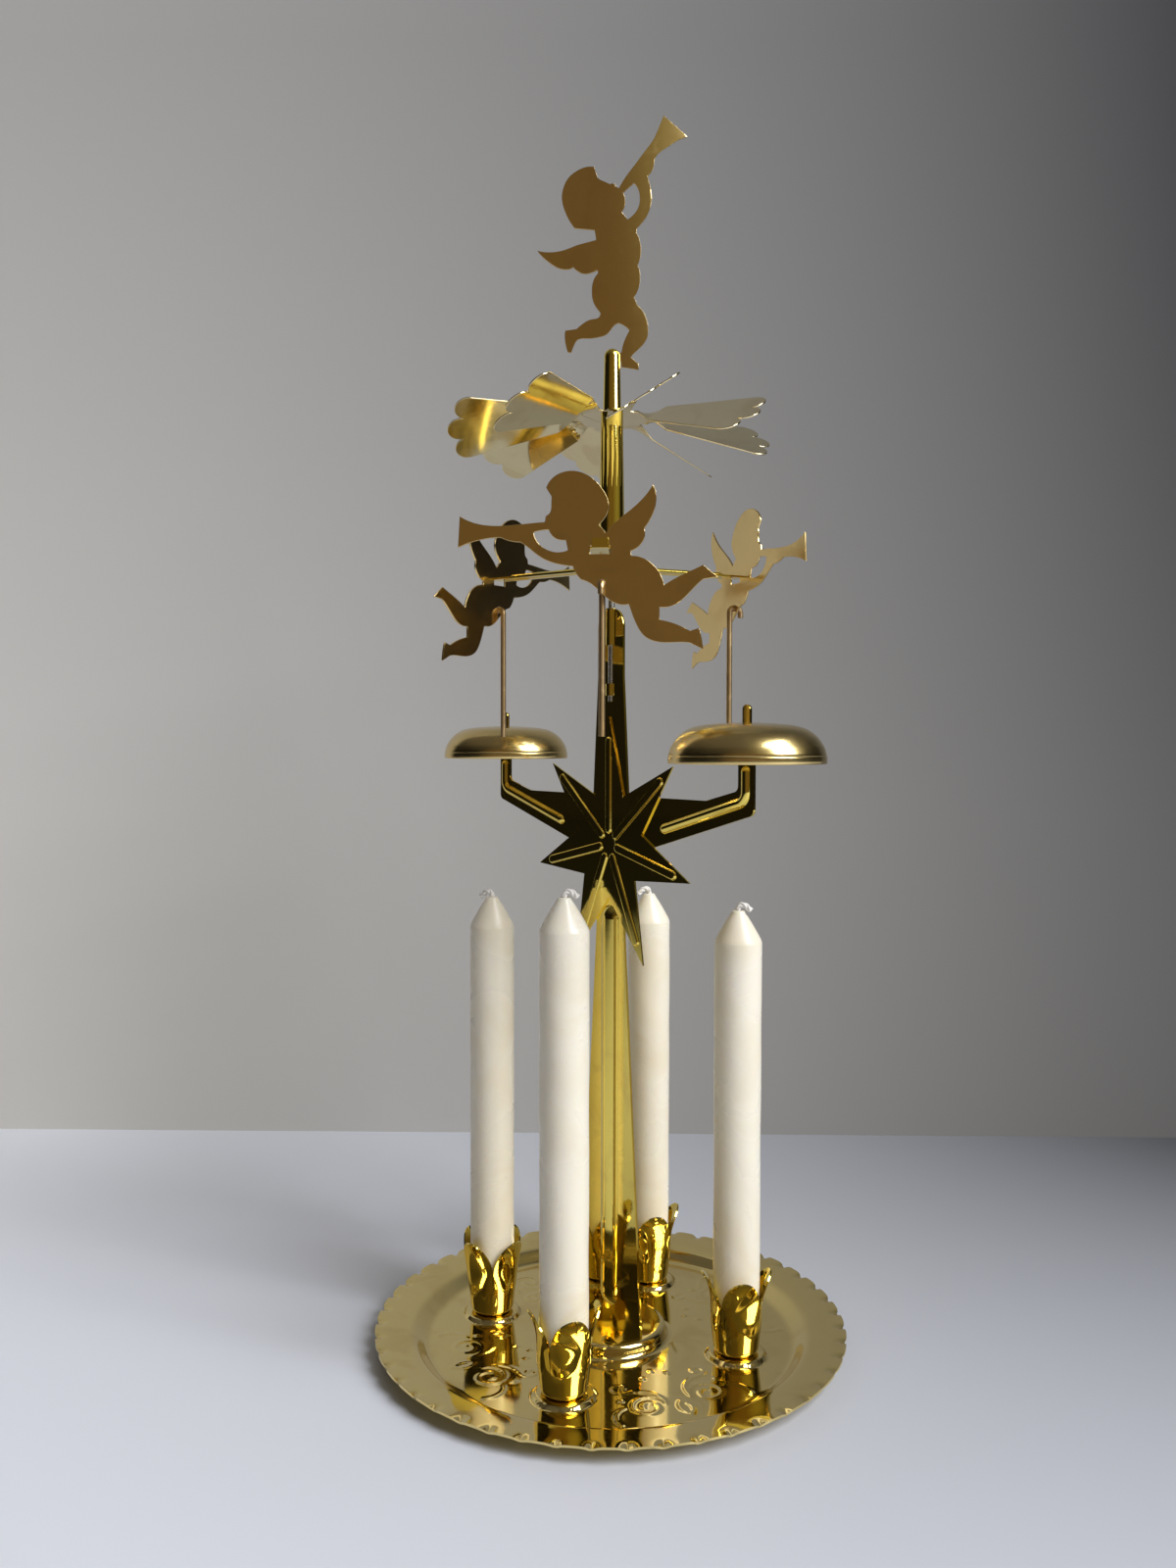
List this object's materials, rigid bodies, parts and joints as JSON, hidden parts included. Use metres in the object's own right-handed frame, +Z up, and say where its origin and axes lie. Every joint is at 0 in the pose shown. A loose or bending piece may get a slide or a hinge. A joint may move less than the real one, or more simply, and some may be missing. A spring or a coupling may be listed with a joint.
{
  "type": "angel chime carousel",
  "caption": "Tabletop candle carousel in stamped brass: a heat-driven turbine carries flying angels whose loose wires ring domed bells.",
  "frame": {"origin": "on the column's axis, at the height of the tray's flat underside", "axes": "+Z up along the column and rotor axis; +X to the viewer's right and -Y towards the viewer when the star is seen from its front, a little from its left"},
  "size_m": [0.1146, 0.1146, 0.2961],
  "materials": {
    "polished_brass": "bright polished sheet with light handling marks",
    "tray_brass": "bright polished sheet with an embossed rim",
    "angel_brass": "bright rolled sheet with darker stamped edges",
    "turbine_brass": "bright thin rolled sheet",
    "bell_brass": "spun and polished, with fine turning lines",
    "brass_wire": "drawn wire, lightly worn",
    "steel_pin": "bright drawn steel",
    "ivory_wax": "semi-matt ivory wax, slightly translucent",
    "cotton_wick": "unburnt braided cotton"
  },
  "bodies": {
    "stand": {"tray": "tray_brass", "candle_holder_front": "polished_brass", "candle_holder_right": "polished_brass", "candle_holder_back": "polished_brass", "candle_holder_left": "polished_brass", "holder_eyelets": "polished_brass", "column_plate": "polished_brass", "star_plate": "polished_brass", "needle": "steel_pin"},
    "rotor": {"rotor_tube": "polished_brass", "turbine_wheel": "turbine_brass", "angel_carrier": "polished_brass", "angel_front": "angel_brass", "angel_right": "angel_brass", "angel_left": "angel_brass", "top_angel": "angel_brass"},
    "striker_front": {"striker_front": "brass_wire"},
    "striker_right": {"striker_right": "brass_wire"},
    "striker_left": {"striker_left": "brass_wire"},
    "bell_right": {"bell_right": "bell_brass"},
    "bell_left": {"bell_left": "bell_brass"},
    "candle_front": {"candle_front": "ivory_wax", "wick_front": "cotton_wick"},
    "candle_right": {"candle_right": "ivory_wax", "wick_right": "cotton_wick"},
    "candle_back": {"candle_back": "ivory_wax", "wick_back": "cotton_wick"},
    "candle_left": {"candle_left": "ivory_wax", "wick_left": "cotton_wick"}
  },
  "joints": [
    {"name": "rotor_spin", "type": "hinge", "parent": "stand", "child": "rotor", "pos_m": [0, 0, 0.24], "axis": [0, 0, 1], "continuous": true},
    {"name": "striker_front_swing", "type": "hinge", "parent": "rotor", "child": "striker_front", "pos_m": [-0.00216, -0.03493, 0.18015], "axis": [-0.0698, -0.9976, 0], "range_deg": [-25, 25]},
    {"name": "striker_right_swing", "type": "hinge", "parent": "rotor", "child": "striker_right", "pos_m": [0.03134, 0.01559, 0.18015], "axis": [0.8988, 0.4384, 0], "range_deg": [-25, 25]},
    {"name": "striker_left_swing", "type": "hinge", "parent": "rotor", "child": "striker_left", "pos_m": [-0.02917, 0.01934, 0.18015], "axis": [-0.829, 0.5592, 0], "range_deg": [-25, 25]},
    {"name": "bell_right_spin", "type": "hinge", "parent": "stand", "child": "bell_right", "pos_m": [0.02877, -0.03818, 0.15], "axis": [0, 0, 1], "continuous": true},
    {"name": "bell_left_spin", "type": "hinge", "parent": "stand", "child": "bell_left", "pos_m": [-0.02877, 0.03818, 0.15], "axis": [0, 0, 1], "continuous": true},
    {"name": "candle_front_lift", "type": "slide", "parent": "stand", "child": "candle_front", "axis": [0, 0, 1], "range_m": [0, 0.028]},
    {"name": "candle_right_lift", "type": "slide", "parent": "stand", "child": "candle_right", "axis": [0, 0, 1], "range_m": [0, 0.028]},
    {"name": "candle_back_lift", "type": "slide", "parent": "stand", "child": "candle_back", "axis": [0, 0, 1], "range_m": [0, 0.028]},
    {"name": "candle_left_lift", "type": "slide", "parent": "stand", "child": "candle_left", "axis": [0, 0, 1], "range_m": [0, 0.028]}
  ]
}
